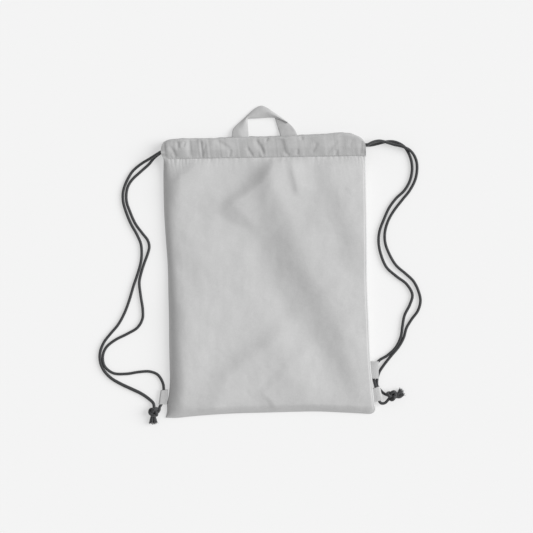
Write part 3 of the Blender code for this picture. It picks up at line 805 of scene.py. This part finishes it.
def crease_depth(x, y):
    """How deep the front channel's creases are at places in plan."""
    depth = np.zeros_like(x)
    for a, b, width, size in CREASES:
        a, b = np.array(a, float), np.array(b, float)
        d = b - a
        long = np.linalg.norm(d)
        t = ((x - a[0]) * d[0] + (y - a[1]) * d[1]) / long ** 2
        off = ((x - a[0]) * d[1] - (y - a[1]) * d[0]) / long
        # the valley is steeper on its west side
        reach = np.where(off * np.sign(-d[1] + 1e-9) < 0, width, 1.5 * width)
        depth += (size * fade(off, reach, 2)
                  * smoothstep(t / 0.4 + 0.4) * smoothstep((1 - t) / 0.4 + 0.4))
    return depth


# Swells of the front channel: x of the crest, its west width, its east width, its height
SWELLS = [(-90, 17, 52, 2.6), (27, 34, 40, 3.0), (-124, 26, 14, 3.0), (82, 24, 50, 1.8)]
COVER_R = 3.1  # the channel's cloth keeps this far from the line of the cord in it


def channel_surface(low, high, hem_z, front, seed):
    """Rings round the hemmed tube along the mouth, from the hem over the top edge and back beneath.

    low and high are the heights of its two layers.
    """
    columns = int(292 / (1.0))
    outer, inner = 34, 20  # points on the upper and on the lower layer
    t_out = steps(outer)
    t_out = t_out + 0.09 * np.sin(2 * math.pi * t_out) / math.pi * -1
    t = np.concatenate([t_out, np.linspace(1, 0, inner + 1)[1:]])
    u, t = np.meshgrid(steps(columns), t, indexing="ij")
    top = np.broadcast_to(np.arange(outer + inner) < outer, u.shape)
    x = -150 + 290 * u
    for _ in range(5):
        hem, edge = line_value(HEM_LINE, x), line_value(TOP_EDGE, x)
        y = hem + (edge - hem) * t
        left, right = line_value(LEFT_OPENING, y), line_value(RIGHT_OPENING, y)
        x = left + (right - left) * u
    middle = (low + high) / 2
    close = quarter_round((t - 0.86) / 0.14)
    z_top = hem_z + (high - hem_z) * smoothstep((t + 0.1) / 0.55)
    if front:
        for crest, west, east, size in SWELLS:
            off = x - crest
            z_top += size * fade(off, np.where(off < 0, west, east), 2) * smoothstep(t / 0.5)
        z_top -= 3.0 * fade(np.maximum(x - left, 0), 9)
    z_low = hem_z - 0.7 + (low - hem_z + 0.7) * smoothstep(t / 0.22)
    z = middle + (np.where(top, z_top, z_low) - middle) * close
    inside = smoothstep((x - left) / 2.5 + 0.2) * smoothstep((right - x) / 2.5 + 0.2)
    crease = crease_depth(x, y) if front else 0
    fine = pucker_field(x + 0.12 * (y - 170), seed, 4.6)
    busy = 1 + 0.5 * smoothstep((-70 - x) / 30)
    near_hem = 0.55 + 0.6 * fade(np.maximum(y - hem, 0), 6)
    ripple = -crease + 0.34 * fine * busy * near_hem + 0.55 * fine_noise(x, y * 0.45, 13, seed)
    z = z + np.where(top, 1.0, -0.35) * ripple * inside * smoothstep(t / 0.06) * close
    # the upper layer stays over the cords
    cord_z = FRONT_CORD_Z if front else BACK_CORD_Z
    for side, (turn_x, front_y, back_y) in RUNS.items():
        exit_x, exit_y = EXITS[side]
        share = np.clip((x - exit_x) / (turn_x - exit_x), 0, 1)
        off = y - (exit_y + ((front_y if front else back_y) - exit_y) * share)
        cover = cord_z + np.sqrt(np.clip(COVER_R ** 2 - off ** 2, 0, None))
        z = np.where(top, cover + np.logaddexp(0, (z - cover) / 0.3) * 0.3, z)
    # the folded edge wavers a little, and dips where a crease runs over it
    wave = fine_noise(x, np.zeros_like(x), 9, seed + 4.0)
    at_edge = smoothstep((t - 0.6) / 0.4)
    y = y + (0.7 * wave - 0.35 * crease) * at_edge * inside
    # the front's folded edge lies a little back from the other one
    y = y + (-1.3 if front else 0.7) * at_edge * smoothstep((right - x) / 22 + 0.15)
    return np.stack([x, y, np.maximum(z, 0.3)], -1)


def make_channels(fabric):
    """The two channels, each an open-ended tube of doubled cloth in two halves."""
    for name, low, high, hem_z, seed in (("front_channel", 10.5, 17.5, HEM_Z, 21),
                                         ("back_channel", 0.3, 5.9, 2.3, 33)):
        points = channel_surface(low, high, hem_z, name == "front_channel", seed)[::-1]
        normals = grid_normals(points, around=True)
        middle = int(np.argmin(np.abs(points[:, 0, 0] - SPLIT_X)))
        for side, part in (("right", slice(0, middle + 1)), ("left", slice(middle, None))):
            piece = shell_object(f"{name}_{side}", points[part], normals[part], 0.5, fabric, around=True)
            gather(piece)
            stands_for(piece, "channel_fabric", name, f"{name}_end_{side}")


# ---- handle, tabs, label

# Edges of the strap: the arch from the left leg to the fold, and the right leg beneath it
HANDLE_OUTER = [
    (-52.4, 192, 7.8), (-51.8, 201.9, 6.2), (-50.6, 210.6, 3.4), (-46.6, 215.8, 2.5),
    (-36.2, 225.6, 2.1), (-27, 234.2, 2.0), (-17.8, 241.8, 2.1), (-9.4, 245, 2.6), (-1, 241.8, 3.2),
    (8, 235.6, 3.7), (18.9, 228.2, 4.1), (28.6, 220.8, 4.4)]
HANDLE_INNER = [
    (-28.0, 192, 7.6), (-27.8, 201.9, 6.1), (-28.4, 210.6, 3.4), (-28.9, 218.6, 2.8), (-29.2, 225, 2.6),
    (-27.6, 226.2, 2.6), (-22, 226.4, 2.7), (-14, 226.8, 2.8), (-5, 227.4, 3.0), (2, 227.8, 3.3),
    (9.7, 227, 3.8), (27.2, 220.0, 4.4)]
LEG_OUTER = [
    (18.9, 227.6, 2.8), (26, 222.4, 3.2), (31.8, 218.0, 3.8), (36.4, 212.9, 4.4), (39.6, 208, 5.2),
    (41.9, 202.4, 6.6), (42.6, 193, 7.6)]
LEG_INNER = [
    (9.6, 228.0, 2.2), (10.4, 225, 2.0), (12.2, 219.4, 1.9), (14.2, 212.9, 2.0), (15.9, 207.6, 2.8),
    (17.4, 201.8, 5.4), (18, 193, 7.4)]


def strap(name, outer, inner, crown, rows, fabric):
    """A ribbon between two edge lines, slightly crowned, with turned edges. Its weave follows it."""
    across = 26
    edges = [points_at(steps(rows), steps(len(path)), path)[:, None]
             for path in (smooth_path(outer, 0.6), smooth_path(inner, 0.6))]
    t = steps(across)[None, :, None]
    points = edges[0] * (1 - t) + edges[1] * t
    turned = np.minimum(np.minimum(t, 1 - t) / 0.07, 1)[..., 0]
    points[..., 2] += crown * np.sin(math.pi * t[..., 0]) ** 1.2 + 0.25 * np.sqrt(turned)
    points[..., 2] += 0.22 * fine_noise(points[..., 0], points[..., 1], 7, 12.0)
    made = grid_object(name, points, fabric, uv=(25 / across, 0.62))
    thicken(made, 1.2)
    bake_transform(made)
    stands_for(made, "channel_fabric", "handle")


def make_handle(fabric):
    strap("handle_arch", HANDLE_OUTER, HANDLE_INNER, 1.9, 120, fabric)
    strap("handle_leg", LEG_OUTER, LEG_INNER, 0.5, 60, fabric)


# Each tab's sides at the seam and at the fold, and the cord's line in it, from the top down; its height
# at the seam; how far its layers are apart there
TABS = {
    "left_tab": (
        [(-143.6, -163.2), (-145.0, -184.2)], [(-154.6, -164.2), (-157.6, -184.2)],
        [(-149.9, -164, 3.1), (-153.8, -184.9, 3.2)], 3.1, 0.16),
    "right_tab": (
        [(147.8, -162.1), (151.2, -181.3)], [(160.4, -157.6), (164.9, -176.6)],
        [(154.5, -160, 7.3), (158.9, -178.4, 7.3)], 6.3, 0.5),
}


def make_tabs(fabric):
    """Each tab is a strip folded round its cord, both ends sewn into the side seam."""
    rows, around = 44, 60
    v = steps(rows)[:, None]
    s = steps(around)
    top = s < 0.5
    w = np.where(top, s * 2, 2 - s * 2)  # 0 at the seam, 1 at the fold
    ending = quarter_round((w - 0.74) / 0.26)
    for name, (*lines, seam_z, root) in TABS.items():
        a, b, c = (line[0] + (line[1] - line[0]) * v for line in (np.array(ends) for ends in lines))
        # the layers part over the cord and come together at the fold and at the seam
        flank = np.minimum((w + root) / (root + 0.14), 1) * ending
        lift = 0.35 * np.sqrt(np.clip((1 - w) / 0.06, 0, 1)) + 2.5 * flank
        points = np.zeros((rows, around, 3))
        for i, out in enumerate(b - a):
            share = np.clip(np.dot(c[i, :2] - a[i], out) / np.dot(out, out), 0, 1)
            middle = seam_z + (c[i, 2] - seam_z) * smoothstep(w / max(share, 0.2))
            points[i, :, :2] = a[i] + out * w[:, None]
            points[i, :, 2] = middle + np.where(top, lift, -lift)
        points[..., 2] += 0.15 * fine_noise(points[..., 0], points[..., 1], 5, 17.0)
        points[..., 2] = np.maximum(points[..., 2], 0.35)
        if name == "right_tab":
            points = points[:, ::-1]
        made = grid_object(f"{name}_loop", points, fabric, around=True)
        thicken(made, 0.55)
        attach(made, name)
        stands_for(made, "channel_fabric", name)


ROOT = 0.14  # how much of the label is sewn in, as a share of the rest


def make_label(material):
    """A woven tape, sewn in at its root, that lies over the cord and droops a little at its tip."""
    low, high = (np.array(corner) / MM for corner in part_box("side_label"))
    rows, columns = 46, 26
    v, u = np.meshgrid(steps(rows), np.linspace(-ROOT, 1, columns), indexing="ij")
    x = low[0] + (high[0] - low[0]) * u
    y = high[1] - (high[1] - low[1]) * v
    out = np.clip(u, 0, 1)
    z = high[2] + 0.3 + 0.5 * np.sin(math.pi * out * 0.8) - 0.6 * out ** 3
    z -= 0.5 * np.clip(-u / ROOT, 0, 1) ** 1.2
    z += 0.2 * np.sin(v * 5.0 + u * 1.5)
    label = grid_object("side_label_tape", np.stack([x, y, z], -1), material)
    thicken(label, 0.5)
    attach(label, "side_label")
    stands_for(label, "label", "side_label")


# ---- stitches

THREAD_R = 0.22
HEM_PITCH, SEAM_PITCH = 2.9, 3.4
SEAM_INSET = 8  # from the outline to the seam, which is sewn inside
SEAM_Z = 1.4


def stitch_row(name, line, pitch, material):
    """A row of stitches along points on a surface: each is a short thread that dips into the cloth."""
    path = smooth_path(line, 0.25)
    run = path_run(path)
    long = 0.68 * pitch
    arch = np.sin(np.linspace(0, math.pi, 7))
    tubes = []
    at = 0.3
    while at + long < run[-1]:
        points = points_at(np.linspace(at, at + long, 7), run, path)
        points[:, 2] += 0.12 + 0.28 * (arch - 0.75)
        tubes.append((points, THREAD_R * (0.55 + 0.45 * arch), 6))
        at += pitch
    return join_tubes(name, tubes, material)


def surface_points(pieces, line):
    """The line's points dropped onto the pieces from above."""
    graph = bpy.context.evaluated_depsgraph_get()
    graph.update()
    trees = [BVHTree.FromObject(p, graph) for p in pieces]
    found = []
    for x, y in line:
        heights = []
        for tree in trees:
            place = tree.ray_cast(Vector((x * MM, y * MM, 0.1)), Vector((0, 0, -1)))[0]
            if place is not None:
                heights.append(place.z / MM)
        if heights:
            found.append((x, y, max(heights)))
    return np.array(found)


def make_stitches(material):
    """The hem line, the ends of the front channel and the seam of the panels."""
    tops = [bpy.data.objects[f"front_{kind}_{side}"]
            for kind in ("panel", "channel") for side in ("left", "right")]

    def sewn(name, line, pitch, side, *nodes):
        row = stitch_row(name, np.array(line), pitch, material)
        if side:
            gather(row)
        else:
            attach(row, "bag")
        stands_for(row, "thread", *nodes)

    def at(line, place):
        return float(line_value(line, place))

    for side, xs in (("left", np.linspace(-149, SPLIT_X - 0.4, 160)),
                     ("right", np.linspace(SPLIT_X + 0.4, 138.5, 160))):
        line = surface_points(tops, [(x, at(HEM_LINE, x) + 1.3) for x in xs])
        sewn(f"hem_thread_{side}", line, HEM_PITCH, side, "hem_thread")
    for side, x in (("left", -146.4), ("right", 134.6)):
        ys = np.linspace(at(HEM_LINE, x) + 4, at(TOP_EDGE, x) - 3, 40)
        line = surface_points(tops, [(x, y) for y in ys])
        sewn(f"end_thread_{side}", line, HEM_PITCH, side)
    for side, edge, inwards in (("left", LEFT_EDGE, SEAM_INSET), ("right", RIGHT_EDGE, -SEAM_INSET)):
        line = [(at(edge, y) + inwards, y, SEAM_Z) for y in np.linspace(158, -180, 60)]
        sewn(f"seam_thread_{side}", line, SEAM_PITCH, side, "seam_thread")
    line = [(x, at(BOTTOM_EDGE, x) + SEAM_INSET, SEAM_Z) for x in np.linspace(-136, 144, 50)]
    sewn("seam_thread_bottom", line, SEAM_PITCH, None, "seam_thread")


# ---- stage

def make_stage():
    """The light table, the camera straight above, and a wide soft sun low in the east."""
    h = FLOOR_HALF
    corners = [(-h, -h, FLOOR_Z), (h, -h, FLOOR_Z), (h, h, FLOOR_Z), (-h, h, FLOOR_Z)]
    new_object("floor", corners, [(0, 1, 2, 3)], floor_material())
    scene = bpy.context.scene

    camera = bpy.data.cameras.new("camera")
    camera.lens, camera.sensor_width = 85, 36
    scene.camera = bpy.data.objects.new("camera", camera)
    scene.camera.location = (-0.0022, 0.0137, 1.812)
    scene.collection.objects.link(scene.camera)

    sun = bpy.data.lights.new("key", "SUN")
    sun.energy, sun.angle = 3.3, math.radians(42)
    key = bpy.data.objects.new("key", sun)
    azimuth, elevation = math.radians(10), math.radians(33)
    towards = Vector((math.cos(azimuth) * math.cos(elevation), math.sin(azimuth) * math.cos(elevation),
                      math.sin(elevation)))
    key.rotation_mode = "QUATERNION"
    key.rotation_quaternion = towards.to_track_quat("Z", "Y")
    scene.collection.objects.link(key)

    world = bpy.data.worlds.new("studio")
    world.use_nodes = True
    background = world.node_tree.nodes["Background"]
    background.inputs["Color"].default_value = (1, 1, 1, 1)
    background.inputs["Strength"].default_value = 0.49
    scene.world = world
    scene.view_settings.view_transform = "Standard"


def main():
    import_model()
    make_stage()
    cord = cord_material()
    make_cords(cord, make_knots(cord))
    make_panels(cloth_material("fabric", 0.53))
    make_channels(cloth_material("channel_fabric", 0.45))
    make_handle(cloth_material("webbing", 0.50, pitch=0.9, depth=0.16, coordinates="UV", unit=1.0))
    make_tabs(cloth_material("tab_fabric", 0.52))
    make_label(label_material())
    make_stitches(thread_material())


main()
